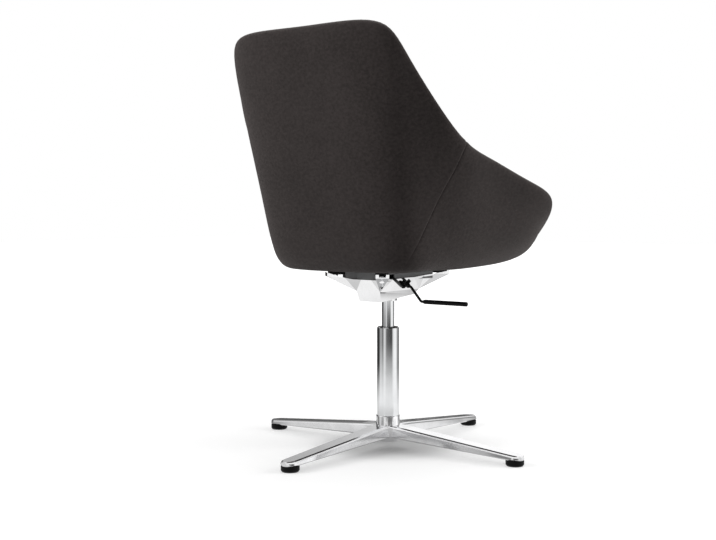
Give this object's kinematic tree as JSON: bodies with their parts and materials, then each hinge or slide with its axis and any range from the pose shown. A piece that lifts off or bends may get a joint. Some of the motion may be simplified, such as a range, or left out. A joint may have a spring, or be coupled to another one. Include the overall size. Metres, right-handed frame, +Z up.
{
  "type": "lounge chair",
  "caption": "Swivel lounge chair: upholstered bucket shell with armrests on a faceted cast support, a lever-released gas lift column and a polished star base on glides.",
  "frame": {"origin": "on the floor, at the centre of the glides, under the column's axis", "axes": "+Z up, the chair faces -Y, its lever is at -X, the sitter's right"},
  "size_m": [0.703, 0.703, 0.9066],
  "materials": {
    "polished_aluminium": "polished die casting",
    "chrome": "polished chrome plating",
    "steel": "ground steel",
    "black_plastic": "black moulded plastic",
    "black_wire": "black lacquered wire",
    "black_screw": "black oxide",
    "grey_plate": "dark grey powder coat",
    "brass": "turned brass",
    "rubber": "black rubber",
    "felt": "grey felt pad",
    "board": "moulded plywood",
    "upholstery": "dark warm grey felted wool"
  },
  "bodies": {
    "base": {"base_star": "polished_aluminium", "glide_studs": "steel", "glide_bodies": "black_plastic", "glide_pads": "felt", "column_tube": "chrome", "guide_bush": "black_plastic", "column_floor": "steel", "lower_race": "steel"},
    "cage": {"bearing_cage": "brass", "bearing_balls": "chrome"},
    "rod": {"upper_race": "steel", "piston_rod": "steel", "rod_clip": "steel", "bump_stop": "rubber", "piston": "black_plastic"},
    "seat": {"gas_cylinder": "chrome", "pressure_tube": "steel", "cylinder_gland": "black_plastic", "valve_housing": "brass", "seat_support": "polished_aluminium", "shell_plate": "grey_plate", "lever_clips": "black_plastic", "support_screws": "black_screw", "shell_inserts": "brass", "back_cover": "upholstery", "seat_shell": "board", "inner_pad": "upholstery", "seat_cushion": "upholstery"},
    "lever": {"height_lever": "black_wire", "lever_grip": "black_plastic"},
    "release_pin": {"release_pin": "steel"}
  },
  "joints": [
    {"name": "seat_swivel", "type": "hinge", "parent": "base", "child": "rod", "pos_m": [0, 0, 0.03], "axis": [0, 0, 1], "continuous": true},
    {"name": "cage_roll", "type": "hinge", "parent": "base", "child": "cage", "pos_m": [0, 0, 0.025], "axis": [0, 0, 1], "continuous": true},
    {"name": "seat_height", "type": "slide", "parent": "rod", "child": "seat", "axis": [0, 0, 1], "range_m": [-0.048, 0.042]},
    {"name": "lever_lift", "type": "hinge", "parent": "seat", "child": "lever", "pos_m": [-0.04997, 0.0005, 0.36503], "axis": [0, 1, 0], "range_deg": [0, 4], "stiffness_Nm_per_rad": 2},
    {"name": "valve_release", "type": "slide", "parent": "seat", "child": "release_pin", "axis": [0, 0, -1], "range_m": [0, 0.0035]}
  ],
  "couplings": [
    {"joint": "cage_roll", "follows": "seat_swivel", "ratio": 0.5},
    {"joint": "valve_release", "follows": "lever_lift", "m_per_rad": 0.05}
  ]
}
